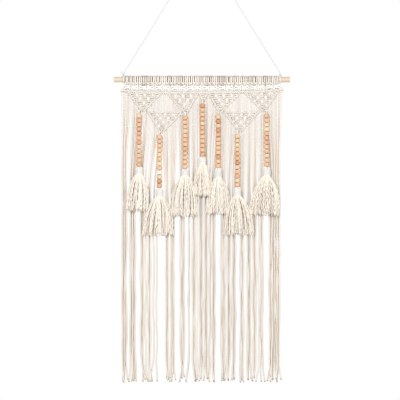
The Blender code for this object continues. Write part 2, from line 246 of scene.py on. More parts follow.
class Yarn:
    """Gathers swept cords and knots, and makes one mesh of them."""

    def __init__(self):
        self.parts = []

    def cord(self, line, diameter, sides=9, lay=LAY, offset=PLY_OFFSET, swell=None, tint=None, end=None,
             flank=0.0):
        """A twisted cord along a line. Along its length swell scales it, tint dulls it, which some callers
        use as painted shade, end darkens it with painted shade, and flank paints shade on its left and
        right, where it lies against its neighbours."""
        count = len(line)
        tangent, side, up = frames_along(line)
        run = np.r_[0, np.cumsum(np.linalg.norm(np.diff(line, axis=0), axis=1))]
        section, crest = ply_section(sides, offset)
        turn = rng.uniform(0, 2 * math.pi) + 2 * math.pi * run / lay
        angle = turn[:, None] + np.arange(sides) / sides * 2 * math.pi
        reach = diameter / 2 * section[None, :, None]
        if swell is not None:
            reach = reach * swell[:, None, None]
        outward = np.cos(angle)[..., None] * side[:, None] + np.sin(angle)[..., None] * up[:, None]
        ring = line[:, None] + reach * outward
        tip = diameter * 0.18
        caps = np.stack([line[0] - tip * tangent[0], line[-1] + tip * tangent[-1]])
        points = np.vstack([ring.reshape(-1, 3), caps])
        quads, tris = cord_faces(count, sides)
        around = np.arange(sides + 1) / sides * (math.pi * diameter)
        quad_uv, cap_uv = cord_uv(around, run + rng.uniform(0, 5), tip)

        # Strand attribute: tint, ply crest whose valleys get painted shade, painted shade at ends, on
        # flanks
        shade = np.zeros((len(points), 4), np.float32)
        dull = np.broadcast_to(rng.uniform(0, 1) if tint is None else tint, count)
        shade[:-2, 0] = np.repeat(dull, sides)
        shade[-2:, 0] = dull[0], dull[-1]
        shade[:-2, 1] = np.tile(crest, count)
        shade[-2:, 1] = 0.3
        # Painted shade on the sides that face left and right, away from the front and the back
        flanks = np.repeat(np.broadcast_to(flank, count), sides)
        shade[:-2, 3] = flanks * smoothstep((0.80 - abs(outward[..., 1].ravel())) / 0.4)
        if end is not None:
            shade[:-2, 2] = np.repeat(end, sides)
            shade[-1, 2] = end[-1]
        self.parts.append((points, quads, tris, quad_uv, cap_uv, shade))

    def copy(self, other, place, scale=1.0, mirror=False, turn=0.0):
        """Another yarn's cords, scaled, turned about Y, mirrored in X if asked, and moved to a place."""
        c, s = math.cos(turn), math.sin(turn)
        shape = np.array([[c, 0, s], [0, 1, 0], [-s, 0, c]]) * scale
        if mirror:
            shape = shape @ np.diag([-1, 1, 1])
        shift = rng.uniform(-0.25, 0.25)
        for points, quads, tris, quad_uv, cap_uv, shade in other.parts:
            marks = shade.copy()
            marks[:, 0] = np.clip(marks[:, 0] + shift, 0, 1)
            if mirror:
                quads, tris = quads[:, ::-1], tris[:, ::-1]
                quad_uv, cap_uv = quad_uv[:, ::-1], cap_uv[:, ::-1]
            self.parts.append((points @ shape.T + place, quads, tris, quad_uv, cap_uv, marks))

    def piece(self, name, material):
        starts = np.cumsum([0] + [len(part[0]) for part in self.parts])
        points = np.vstack([part[0] for part in self.parts])
        quads = np.vstack([part[1] + at for part, at in zip(self.parts, starts)])
        tris = np.vstack([part[2] + at for part, at in zip(self.parts, starts)])
        uv = np.vstack([np.vstack([part[3].reshape(-1, 2) for part in self.parts]),
                        np.vstack([part[4].reshape(-1, 2) for part in self.parts])])
        shade = np.vstack([part[5] for part in self.parts])
        return mesh_piece(name, points, quads, tris, material, uv, {"strand": shade})


def mesh_piece(name, points, quads, tris, material, uv=None, colours=None, vectors=None):
    """A smooth mesh object from arrays. Faces are the quads and then the triangles."""
    mesh = bpy.data.meshes.new(name)
    corners = np.concatenate([np.ravel(quads), np.ravel(tris)]).astype(np.int32)
    first = np.concatenate([np.arange(len(quads)) * 4, len(quads) * 4 + np.arange(len(tris)) * 3])
    mesh.vertices.add(len(points))
    mesh.vertices.foreach_set("co", np.asarray(points, np.float32).ravel())
    mesh.loops.add(len(corners))
    mesh.loops.foreach_set("vertex_index", corners)
    mesh.polygons.add(len(first))
    mesh.polygons.foreach_set("loop_start", first.astype(np.int32))
    if uv is not None:
        layer = mesh.uv_layers.new(name="Fibre")
        layer.uv.foreach_set("vector", np.asarray(uv, np.float32).ravel())
    for label, values in (colours or {}).items():
        made = mesh.attributes.new(label, "FLOAT_COLOR", "POINT")
        made.data.foreach_set("color", np.asarray(values, np.float32).ravel())
    for label, values in (vectors or {}).items():
        made = mesh.attributes.new(label, "FLOAT_VECTOR", "POINT")
        made.data.foreach_set("vector", np.asarray(values, np.float32).ravel())
    mesh.update(calc_edges=True)
    mesh.shade_smooth()
    mesh.materials.append(material)
    made = bpy.data.objects.new(name, mesh)
    bpy.context.scene.collection.objects.link(made)
    return made


def smoothstep(t):
    t = np.clip(t, 0, 1)
    return t * t * (3 - 2 * t)


# ---------------------------------------------------------------- materials

class Nodes:
    """A material's node tree, with one call for each node."""

    def __init__(self, name):
        self.material = bpy.data.materials.new(name)
        self.material.use_nodes = True
        self.tree = self.material.node_tree
        self.shader = self.tree.nodes["Principled BSDF"]

    def add(self, kind, values=(), **settings):
        made = self.tree.nodes.new(kind)
        for key, value in settings.items():
            setattr(made, key, value)
        for socket, value in dict(values).items():
            if isinstance(value, bpy.types.NodeSocket):
                self.tree.links.new(value, made.inputs[socket])
            else:
                made.inputs[socket].default_value = value
        return made

    def attribute(self, name):
        return self.add("ShaderNodeAttribute", attribute_name=name)

    def math(self, operation, a, b=0.0):
        return self.add("ShaderNodeMath", {0: a, 1: b}, operation=operation).outputs[0]

    def between(self, share, first, second):
        """A colour from the first to the second."""
        made = self.add("ShaderNodeMix", {0: share}, data_type="RGBA")
        for socket, value in ((6, first), (7, second)):
            if isinstance(value, bpy.types.NodeSocket):
                self.tree.links.new(value, made.inputs[socket])
            else:
                made.inputs[socket].default_value = (*value, 1.0)
        return made.outputs[2]

    def into_shader(self, socket, value):
        if isinstance(value, bpy.types.NodeSocket):
            self.tree.links.new(value, self.shader.inputs[socket])
        else:
            self.shader.inputs[socket].default_value = value


def cotton(name, crest, valley, dark):
    """Twisted cotton: lighter plies, tan valleys painted as the shade between plies, fine fibres that lie
    along the twist, soft sheen. The strand attribute holds how dull the strand is, how near its crest,
    how far it gets painted shade at a cut end or another shaded place and, as its alpha, how far it is a
    flank with painted shade."""
    nodes = Nodes(name)
    strand_colour = nodes.attribute("strand")
    strand = nodes.add("ShaderNodeSeparateColor", {0: strand_colour.outputs["Color"]})
    uv = nodes.add("ShaderNodeUVMap", uv_map="Fibre").outputs[0]
    slanted = nodes.add("ShaderNodeMapping", {0: uv, "Rotation": (0, 0, 0.5), "Scale": (1, 0.16, 1)})
    fibres = nodes.add("ShaderNodeTexNoise", {0: slanted.outputs[0], "Scale": 4200, "Detail": 3})
    blotches = nodes.add("ShaderNodeTexNoise", {0: uv, "Scale": 70, "Detail": 2})
    # Painted shade in the valleys between the plies
    depth = nodes.math("POWER", strand.outputs[1], 0.45)
    base = nodes.between(depth, valley, crest)
    warm = nodes.between(nodes.math("MULTIPLY", blotches.outputs[0], 0.16), base, valley)
    toned = nodes.between(nodes.math("MULTIPLY", strand.outputs[0], 0.55), warm, valley)
    streaked = nodes.between(nodes.math("MULTIPLY", fibres.outputs[0], 0.12), toned, valley)
    # Painted shade on the flanks, then at cut ends and other shaded places, in the dark colour
    flanked = nodes.between(strand_colour.outputs["Alpha"], streaked, dark)
    ended = nodes.between(strand.outputs[2], flanked, dark)
    bump = nodes.add("ShaderNodeBump", {"Strength": 0.35, "Distance": 0.0003, "Height": fibres.outputs[0]})
    nodes.into_shader("Base Color", ended)
    nodes.into_shader("Normal", bump.outputs[0])
    nodes.into_shader("Roughness", 0.92)
    nodes.into_shader("Specular IOR Level", 0.2)
    nodes.into_shader("Sheen Weight", 0.2)
    nodes.into_shader("Sheen Roughness", 0.5)
    return nodes.material


def wood(name, shadow, roughness):
    """Fine straight grain with faint rings over each piece's own tone, from its grain coordinates."""
    nodes = Nodes(name)
    grain = nodes.attribute("grain").outputs["Vector"]
    tone = nodes.attribute("tone").outputs["Color"]
    drawn_out = nodes.add("ShaderNodeMapping", {0: grain, "Scale": (900, 900, 60)})
    streaks = nodes.add("ShaderNodeTexNoise", {0: drawn_out.outputs[0], "Scale": 1.0, "Detail": 5})
    broad = nodes.add("ShaderNodeMapping", {0: grain, "Scale": (160, 160, 12)})
    bands = nodes.add("ShaderNodeTexNoise", {0: broad.outputs[0], "Scale": 1.0, "Detail": 2})
    share = nodes.math("MULTIPLY", nodes.math("ADD", streaks.outputs[0], bands.outputs[0]), 0.5)
    stops = nodes.add("ShaderNodeMapRange", {0: share, 1: 0.38, 2: 0.66, 3: 0.0, 4: 0.45})
    darker = nodes.add("ShaderNodeMix", {0: 1.0, 6: tone, 7: (*shadow, 1.0)}, data_type="RGBA",
                       blend_type="MULTIPLY")
    bump = nodes.add("ShaderNodeBump", {"Strength": 0.2, "Distance": 0.0002, "Height": streaks.outputs[0]})
    nodes.into_shader("Base Color", nodes.between(stops.outputs[0], tone, darker.outputs[2]))
    nodes.into_shader("Normal", bump.outputs[0])
    nodes.into_shader("Roughness", roughness)
    return nodes.material


def plain(name, colour, roughness):
    nodes = Nodes(name)
    nodes.into_shader("Base Color", (*colour, 1.0))
    nodes.into_shader("Roughness", roughness)
    return nodes.material


# Each cotton's crests, then its valleys and its dark colour, which are painted shade: in the valleys
# between the plies, and on flanks, turns, cut ends and shade strands
COTTON = cotton("cotton", (0.965, 0.958, 0.943), (0.78, 0.70, 0.60), (0.29, 0.185, 0.10))
# The lark's heads' cotton: a much darker painted shade for the gaps between the heads
LARK_COTTON = cotton("lark_cotton", (0.975, 0.965, 0.95), (0.80, 0.72, 0.62), (0.17, 0.10, 0.05))
# The knotted work's cotton: the same cord, darker in all three colours, painted shade among its knots
SHADED_KNOT_COTTON = cotton("knot_cotton", (0.90, 0.875, 0.835), (0.56, 0.47, 0.37), (0.22, 0.145, 0.085))
# For the header and the tassel heads: paler valleys and dark colour, a lighter painted shade
WHITE_COTTON = cotton("white_cotton", (0.945, 0.935, 0.92), (0.84, 0.81, 0.76), (0.64, 0.58, 0.50))
SKIRT_COTTON = cotton("skirt_cotton", (0.965, 0.94, 0.90), (0.82, 0.71, 0.58), (0.52, 0.38, 0.25))
HANGER_COTTON = cotton("hanger_cotton", (0.84, 0.83, 0.81), (0.62, 0.60, 0.56), (0.40, 0.38, 0.35))
DOWEL_WOOD = wood("dowel_wood", (0.62, 0.42, 0.22), 0.55)
BEAD_WOOD = wood("bead_wood", (0.62, 0.36, 0.20), 0.45)


# ---------------------------------------------------------------- places, from the frame

def vertices_of(node):
    return np.array([vertex.co for vertex in frame["nodes"][node].data.vertices], float)


def band_of(node):
    """Functions for the top and the bottom of a long flat node at any x."""
    points = vertices_of(node)
    columns = sorted(set(np.round(points[:, 0], 5)))
    tops = [points[abs(points[:, 0] - x) < 2e-5, 2].max() for x in columns]
    bottoms = [points[abs(points[:, 0] - x) < 2e-5, 2].min() for x in columns]
    return (lambda x: np.interp(x, columns, tops)), (lambda x: np.interp(x, columns, bottoms))


bar_top, bar_bottom = band_of("hitched_bar")
bar_low, bar_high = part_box("hitched_bar")


class Net:
    """A V-shaped net: its two upper corners and its tip, as (x, z)."""

    def __init__(self, node):
        self.node = node
        points = vertices_of(node)
        lowest = points[points[:, 2] < points[:, 2].min() + 0.0002]
        self.tip = np.array([(lowest[:, 0].min() + lowest[:, 0].max()) / 2, lowest[:, 2].min()])
        self.half_tip = (lowest[:, 0].max() - lowest[:, 0].min()) / 2
        left, right = points[:, 0].min(), points[:, 0].max()
        self.left = np.array([left, points[points[:, 0] < left + 0.0002, 2].min()])
        self.right = np.array([right, points[points[:, 0] > right - 0.0002, 2].min()])
        self.top = max(self.left[1], self.right[1])

    def sides_at(self, z):
        """x of the left and the right border at a height."""
        low_left = self.tip + (-self.half_tip * 0.35, 0)
        low_right = self.tip + (self.half_tip * 0.35, 0)
        left = np.interp(z, [low_left[1], self.left[1]], [low_left[0], self.left[0]])
        right = np.interp(z, [low_right[1], self.right[1]], [low_right[0], self.right[0]])
        return left, right

    def height_at(self, x):
        """Height of the lower border at x, or None outside the net."""
        if not self.left[0] <= x <= self.right[0]:
            return None
        return float(np.interp(x, [self.left[0], self.tip[0], self.right[0]],
                               [self.left[1], self.tip[1], self.right[1]]))


UPPER_NETS = [Net(name) for name in
              ("net_upper_1", "net_upper_2", "net_centre", "net_upper_3", "net_upper_4")]
LOWER_NETS = [Net(name) for name in ("net_lower_left", "net_lower_right")]
NETS = UPPER_NETS + LOWER_NETS


def edge_at(x, nets=NETS):
    """Height of the knotted work's lower edge."""
    heights = [net.height_at(x) for net in nets]
    return min([float(bar_bottom(x))] + [height for height in heights if height is not None])


# ---------------------------------------------------------------- knots

def square_knot(close=1.0):
    """One flat knot of four strands, front towards -Y, centred on the origin. One strand crosses the
    front twice and turns at the right, and the other passes behind and shows at the sides. Below 1,
    close pulls the two crossings together."""
    d = TIGHT_CORD
    front = np.array([
        (-1.30, 0.0, 1.75), (-1.62, -0.45, 1.15), (-0.8, -1.05, 0.78), (0.35, -1.15, 0.66),
        (1.45, -0.60, 0.50), (1.75, 0.0, 0.02), (1.45, -0.60, -0.46), (0.35, -1.15, -0.62),
        (-0.8, -1.05, -0.74), (-1.62, -0.45, -1.10), (-1.30, 0.0, -1.75),
    ]) * d
    back = np.array([
        (1.30, 0.1, 1.75), (1.80, -0.35, 1.15), (1.72, -0.35, 0.72), (0.9, 0.85, 0.52), (-0.4, 1.1, 0.52),
        (-1.5, 0.4, 0.45), (-1.85, -0.45, 0.25), (-1.85, -0.45, -0.25), (-1.5, 0.4, -0.45),
        (-0.4, 1.1, -0.52), (0.9, 0.85, -0.52), (1.72, -0.35, -0.72), (1.80, -0.35, -1.15),
        (1.30, 0.1, -1.75),
    ]) * d
    for route in (front, back):
        route[abs(route[:, 2]) < 0.9 * d, 2] *= close
    yarn = Yarn()
    # Tint rises from the front strand to the one behind to the fillers: painted shade on deeper strands
    yarn.cord(smooth_line(front, SHORT_STEP), d, sides=8, tint=0.3, flank=0.25)
    yarn.cord(smooth_line(back, SHORT_STEP), d, sides=8, tint=0.4, flank=0.25)
    for side in (-1, 1):
        filler = np.array([(0.6 * side, 0.0, 1.8), (0.52 * side, 0.0, 0.0), (0.6 * side, 0.0, -1.8)]) * d
        yarn.cord(smooth_line(filler, SHORT_STEP * 2), d, sides=8, tint=0.6)
    return yarn


SQUARE_KNOT = square_knot()
CLOSE_KNOT = square_knot(0.76)


def hitch_row(yarn, line, height, depth):
    """Wraps pulled tight round a holding cord that runs along a line in the front plane. Where a wrap
    turns back, at its top and its bottom, it lies in the shade of its neighbours, and that shade is painted
    into its colour, twice as strong on every other wrap."""
    length = length_of(line)
    count = max(2, round(length / HITCH_PITCH))
    places = smooth_line(line, length / count)
    along = unit(np.gradient(places, axis=0))
    turns = np.linspace(-0.62, 1.62, 13) * math.pi - math.pi / 2
    # Painted shade near the top and the bottom of each wrap
    shade = smoothstep((abs(np.sin(turns)) - 0.58) / 0.3)
    for i, (place, direction) in enumerate(zip(places, along)):
        across = np.cross(direction, (0.0, -1.0, 0.0))
        lean = 0.45 * HITCH_PITCH * (1 if i % 2 else -1) + rng.normal(0, 0.0001)
        high = (height - HITCH_CORD) / 2 + rng.normal(0, 0.00015)
        deep = (depth - HITCH_CORD) / 2 + rng.normal(0, 0.0001)
        wrap = [
            place + across * high * math.sin(turn) + np.array([0.0, 1.0, 0.0]) * -deep * math.cos(turn)
            + direction * lean * math.sin(turn)
            for turn in turns
        ]
        yarn.cord(np.array(wrap), HITCH_CORD * rng.uniform(0.96, 1.05), sides=8, lay=0.009,
                  tint=rng.uniform(0, 0.35), end=shade * rng.uniform(0.2, 0.5) * (2 if i % 2 else 1))
    yarn.cord(places, HITCH_CORD * 1.1, sides=8)


# ---------------------------------------------------------------- the parts

def place_on(piece, body, slot, *nodes):
    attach(piece, body)
    if nodes:
        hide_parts(*nodes)
    return piece


def lathe(profile, sides):
    """A closed turned skin about Z from (radius, z) points. The first and last are on the axis."""
    turn = np.arange(sides) / sides * 2 * math.pi
    rings = [np.stack([r * np.cos(turn), r * np.sin(turn), np.full(sides, z)], 1)
             for r, z in profile[1:-1]]
    points = np.vstack(rings + [[(0, 0, profile[0][1])], [(0, 0, profile[-1][1])]])
    k = np.arange(sides)
    n = (k + 1) % sides
    quads = np.vstack([
        np.stack([i * sides + k, i * sides + n, (i + 1) * sides + n, (i + 1) * sides + k], 1)
        for i in range(len(rings) - 1)
    ])
    top = len(rings) * sides
    last = (len(rings) - 1) * sides
    tris = np.vstack([np.stack([n, k, np.full(sides, top)], 1),
                      np.stack([last + k, last + n, np.full(sides, top + 1)], 1)])
    return points, quads, tris


def make_dowel():
    """The dowel with rounded ends, a little uneven along its length."""
    low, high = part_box("dowel")
    radius, half = (high.z - low.z) / 2, high.x
    flat = half - DOWEL_EDGE
    corner = [(radius - DOWEL_EDGE + DOWEL_EDGE * math.sin(a), flat + DOWEL_EDGE * math.cos(a))
              for a in np.linspace(0, math.pi / 2, 5)]
    runs = [(radius, z) for z in np.linspace(flat, -flat, 60)[1:-1]]
    profile = [(0, half), (radius * 0.5, half)] + corner + runs
    profile += [(r, -z) for r, z in corner[::-1]] + [(radius * 0.5, -half), (0, -half)]
    points, quads, tris = lathe(profile, 40)
    grain = points.copy()
    share = ((points[:, 2] + half) / (2 * half))[:, None]
    left, right = DOWEL_TONES
    tone = np.c_[(1 - share) * left + share * right, np.ones(len(points))]
    wobble = 1 + 0.008 * np.sin(points[:, 2] * 38) + 0.006 * np.sin(points[:, 2] * 91 + 1)
    points[:, :2] *= np.minimum(wobble, 1.0)[:, None]
    placed = np.stack([points[:, 2], points[:, 1], -points[:, 0] + DOWEL_Z], 1)
    dowel = mesh_piece("wooden_dowel", placed, quads, tris, DOWEL_WOOD, colours={"tone": tone},
                       vectors={"grain": grain})
    place_on(dowel, "textile", "dowel_wood", "dowel")


def make_hanger_string():
    """Two straight legs from the loops, and the bend over the hook."""
    low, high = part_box("hanger_string")
    foot = (high.x - 0.0011, low.z)
    bend = high.z
    slope = math.atan2(foot[0], -foot[1])
    end = 0.004
    route = [(-foot[0], 0, foot[1] - end), (-foot[0], 0, foot[1])]
    for angle in np.linspace(-(math.pi / 2 - slope), math.pi / 2 - slope, 9):
        route.append((bend * 1.9 * math.sin(angle), 0, bend * 1.9 * math.cos(angle) - bend * 1.25))
    route += [(foot[0], 0, foot[1]), (foot[0], 0, foot[1] - end)]
    straight = []
    for a, b in zip(route, route[1:]):
        steps = max(1, int(np.linalg.norm(np.subtract(b, a)) / 0.03))
        straight += [tuple(np.add(a, np.subtract(b, a) * i / steps)) for i in range(steps)]
    yarn = Yarn()
    yarn.cord(smooth_line(straight + [route[-1]], SHORT_STEP), HANGER_CORD, sides=9, lay=HANGER_LAY,
              offset=0.25, flank=0.25)
    place_on(yarn.piece("hanger_cord", HANGER_COTTON), "hanger", "hanger_cotton", "hanger_string")


def make_tied_loop(name, side):
    """Turns round the dowel's end with a knot on top, which has two tails at the left."""
    low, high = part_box(f"hanger_loop_{name}")
    centre = (low.x + high.x) / 2
    radius = DOWEL_Z - low.z - HANGER_CORD / 2
    yarn = Yarn()
    angle = np.linspace(0, 2 * math.pi * LOOP_TURNS, 24 * LOOP_TURNS)
    across = np.linspace(-0.5, 0.5, len(angle)) * (high.x - low.x - HANGER_CORD) * 0.86
    coil = np.stack([centre - side * across, radius * np.sin(angle), DOWEL_Z + radius * np.cos(angle)], 1)
    yarn.cord(coil, HANGER_CORD, sides=9, lay=HANGER_LAY)
    knot_z = DOWEL_Z + LOOP_KNOT_RISE
    ball = [(centre + 0.0024 * math.cos(2 * t) * (1 + 0.2 * math.cos(3 * t)),
             -0.0006 + 0.0022 * math.sin(3 * t),
             knot_z + 0.00234 * math.sin(2 * t))
            for t in np.linspace(0, 2 * math.pi, 26)]
    yarn.cord(smooth_line(ball, FINE_STEP), HANGER_CORD, sides=9, lay=HANGER_LAY)
    for reach, rise, lean in KNOT_TAILS if side < 0 else ():
        tail = [(centre, 0, knot_z), (centre + reach * 0.4, lean, knot_z + rise * 0.35),
                (centre + reach * 0.8, lean * 1.3, knot_z + rise * 0.75),
                (centre + reach, lean, knot_z + rise)]
        yarn.cord(smooth_line(tail, FINE_STEP), HANGER_CORD * 0.9, sides=9, lay=HANGER_LAY)
    piece = yarn.piece(f"tied_loop_{name}", HANGER_COTTON)
    place_on(piece, "hanger", "hanger_cotton", f"hanger_loop_{name}")


def strand_x(k):
    """Each strand's own place along the bar."""
    half = bar_high.x
    return -half + (k + 0.5) * 2 * half / STRAND_COUNT


def lark_head_route(leg, radius):
    """A loop that is folded over the dowel, its two legs pulled through it at the front."""
    half = [(-leg * 0.80, 0.0006, -0.0165), (-leg * 0.88, -0.0034, -0.0128), (-leg, -0.0078, -0.0070)]
    half += [(-leg - rng.normal(0, 0.0001), -radius * math.cos(a), radius * math.sin(a))
             for a in np.linspace(-0.1, math.pi + 0.25, 7)]
    half += [(-leg * 0.95, radius * 0.93, -0.0066), (-leg * 0.5, 0.0084, -0.0106)]
    return half + [(0, 0.0081, -0.0113)] + [(-x, y, z) for x, y, z in half[::-1]]


def make_lark_heads():
    """The lark's heads side by side on the dowel, with dark strands in the gaps between them as painted
    shade.
    """
    low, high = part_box("larks_heads")
    dowel_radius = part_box("dowel")[1].z - DOWEL_Z
    radius = dowel_radius + LARK_CORD / 2
    inner = dowel_radius + 0.0010
    pitch = (high.x - low.x) / LARK_COUNT
    yarn = Yarn()
    for k in range(LARK_COUNT):
        middle = low.x + (k + 0.5) * pitch + rng.normal(0, 0.00035)
        route = lark_head_route(LARK_SPREAD + rng.normal(0, 0.00025), radius)
        lean = rng.normal(0, 0.012)
        placed = [(middle + x + lean * z, y, DOWEL_Z + z) for x, y, z in route]
        # flank paints shade on the heads' sides, more on some heads than on others
        yarn.cord(smooth_line(placed, 0.0015), LARK_CORD * rng.uniform(0.92, 1.04), sides=9,
                  tint=rng.uniform(0, 0.25), flank=rng.choice([0.15, 0.35, 0.7]))
        # How dark the painted shade strands are beside each head and between its legs
        beside, between = rng.choice([0.4, 1.0, 1.0]), rng.uniform(0.5, 1.0)
        for x, shadow in ((middle - pitch / 2, beside), (middle, between)):
            under = smooth_line([(x, -inner * math.cos(a), DOWEL_Z + inner * math.sin(a))
                                 for a in np.linspace(-0.75, math.pi + 0.2, 9)], 0.0015)
            yarn.cord(under, SHADE_STRAND_CORD, sides=7, end=np.full(len(under), shadow))
    place_on(yarn.piece("lark_head_knots", LARK_COTTON), "textile", "cotton", "larks_heads")


def make_header():
    """A row of flat knots between the lark's heads and the hitched bar, with their strands."""
    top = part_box("header_knots")[1].z
    width = 2 * bar_high.x / HEADER_KNOTS
    yarn = Yarn()
    for i in range(HEADER_KNOTS):
        x = (-bar_high.x + (i + 0.5) * width) * HEADER_SHARE
        middle = (top + float(bar_top(x))) / 2
        yarn.copy(CLOSE_KNOT, (x, 0.0006, middle), scale=HEADER_KNOT_SCALE, mirror=i % 2 == 1,
                  turn=rng.normal(0, 0.03))
        for j in range(4):
            strand = strand_x(4 * i + j)
            low = float(bar_top(strand)) - 0.002
            run = [(strand * 0.95 + x * 0.05, 0.0024, top + 0.001), (strand, 0.0030, (top + low) / 2),
                   (strand, 0.0024, low)]
            # flank paints shade on the strands' sides
            yarn.cord(smooth_line(run, SHORT_STEP), CORD, sides=9, tint=rng.uniform(0, 0.3), flank=0.3)
    place_on(yarn.piece("header_flat_knots", WHITE_COTTON), "textile", "cotton", "header_knots")


def make_bar():
    """The hitched bar: two wraps for each strand round a holding cord."""
    xs = np.linspace(bar_low.x + 0.0012, bar_high.x - 0.0012, 25)
    line = np.array([(x, 0.0, (bar_top(x) + bar_bottom(x)) / 2) for x in xs])
    yarn = Yarn()
    hitch_row(yarn, line, *BAR_SIZE)
    place_on(yarn.piece("hitched_bar_wraps", SHADED_KNOT_COTTON), "textile", "cotton", "hitched_bar")


def knot_places(net):
    """Places of a net's knots, row by row. Each row has one knot fewer than the one above."""
    rows = 1 if net.node == "net_centre" else KNOT_ROWS
    places = []
    for row in range(rows):
        z = net.top - FIRST_ROW_DROP - row * KNOT_ROW
        left, right = net.sides_at(z)
        middle = (left + right) / 2
        count = rows - row
        places.append([(middle + (i - (count - 1) / 2) * KNOT_PITCH, z) for i in range(count)])
    return places


def make_net(net):
    """Rows of flat knots joined by slanting strands, with a hitched border on each side."""
    yarn = Yarn()
    rows = knot_places(net)
    for row in rows:
        for i, (x, z) in enumerate(row):
            yarn.copy(SQUARE_KNOT, (x, 0, z), mirror=i % 2 == 1, turn=rng.normal(0, 0.05))
    d = TIGHT_CORD
    for upper, lower in zip(rows, rows[1:]):
        for i, (x, z) in enumerate(upper):
            for side, target in ((-1, i - 1), (1, i)):
                if 0 <= target < len(lower):
                    end_x, end_z = lower[target]
                    entry = -side
                else:
                    left, right = net.sides_at(z - KNOT_ROW * 0.7)
                    end_x, end_z = (left if side < 0 else right), z - KNOT_ROW * 0.7 - 1.4 * d
                    entry = 0
                for share in (0.5, 1.35):
                    start = (x + side * share * d, 0.0, z - 1.35 * d)
                    stop = (end_x + entry * (1.85 - share) * d, 0.0, end_z + 1.35 * d)
                    route = [start, np.add(start, (side * 0.3 * d, 0, -0.4 * d)),
                             np.add(stop, (-side * 0.3 * d, 0, 0.4 * d)), stop]
                    # The slanting strands get tint and flank, painted shade among the knots
                    yarn.cord(smooth_line(route, SHORT_STEP), d, sides=8, tint=0.5, flank=0.6)
    place = (net.tip[0], 0.0004, net.tip[1] + TIP_KNOT_RISE)
    yarn.copy(SQUARE_KNOT, place, scale=TIP_KNOT_SCALE, turn=rng.normal(0, 0.05))
    for corner, side in ((net.left, -1), (net.right, 1)):
        low = net.tip + (side * net.half_tip * 0.25, BORDER_INSET)
        high = corner + (-side * BORDER_INSET * 1.2, 0.0008)
        sag = np.array([-side * 0.0006, -0.0006])
        points = [high, (high * 0.67 + low * 0.33) + sag, (high * 0.33 + low * 0.67) + sag, low]
        line = smooth_line([(x, -0.0004, z) for x, z in points], 0.002)
        hitch_row(yarn, line, *BORDER_SIZE)
    piece = yarn.piece(net.node.replace("net", "knotted_net"), SHADED_KNOT_COTTON)
    place_on(piece, "textile", "cotton", net.node)


def make_gap_strands(name, net):
    """Loose strands from the bar and the two upper borders, nearly straight down to the lower net."""
    yarn = Yarn()
    inside = [strand_x(k) for k in range(STRAND_COUNT) if net.left[0] < strand_x(k) < net.right[0]]
    feet = np.linspace(net.left[0] + CORD * 0.4, net.right[0] - CORD * 0.4, len(inside))
    for i, (x, foot) in enumerate(zip(inside, feet)):
        start_z = edge_at(x, UPPER_NETS) + 0.002
        end_z = net.top - 0.0035
        span = start_z - end_z
        if span < 0.006:
            continue
        y = 0.0012 * (i % 2) + rng.normal(0, 0.0003)
        bow = rng.normal(0, 0.0005)
        route = [(x, 0.0006, start_z), (x * 0.75 + foot * 0.25 + bow, y, start_z - span * 0.3),
                 (x * 0.3 + foot * 0.7 - bow, y, start_z - span * 0.7), (foot, 0.0012, end_z)]
        # flank paints shade on each strand's sides
        yarn.cord(smooth_line(route, LONG_STEP), CORD * 0.97, sides=9, tint=rng.uniform(0, 0.1),
                  flank=rng.uniform(0.35, 1.0))
    place_on(yarn.piece(f"loose_strands_{name}", COTTON), "textile", "cotton", f"gap_strands_{name}")


# ---------------------------------------------------------------- the fringe

def fringe_line(start, target, y, bottom):
    """One strand: down from the knotted edge, into its bunch, then straight with slight waves, and
    outwards at its cut end."""
    z = np.linspace(start[2], bottom, 24)
    down = start[2] - z
    gather = smoothstep(down / (GATHER * rng.uniform(0.8, 1.2)))
    x = start[0] + (target - start[0]) * gather
    loose = smoothstep((down - 0.05) / 0.4)
    wave = rng.uniform(0.0004, 0.0015)
    x = x + wave * np.sin(down * rng.uniform(22, 44) + rng.uniform(0, 6.3)) * loose
    x = x + rng.normal(0, 0.00045, len(z)) * loose
    x = x + rng.normal(0, 0.0042) * smoothstep(1 - (z - bottom) / SPLAY_LENGTH) ** 1.5
    front = y + 0.0004 * np.sin(down * 23 + rng.uniform(0, 6.3))
    depth = start[1] + (front - start[1]) * smoothstep(down / 0.035)
    return smooth_line(np.stack([x, depth, z], 1), LONG_STEP)


def bunch_places(middle, span, ahead, behind):
    """Each strand's place in a bunch, left to right: (x, whether it lies behind)."""
    front = middle + np.linspace(-0.5, 0.5, ahead) * span if ahead > 1 else np.array([middle])
    step = span / max(1, ahead - 1)
    inner = np.linspace(-0.5, 0.5, behind) * max(span - step, 0.001) if behind > 1 else np.zeros(behind)
    return sorted([(x, False) for x in front] + [(middle + x + 0.0003, True) for x in inner])


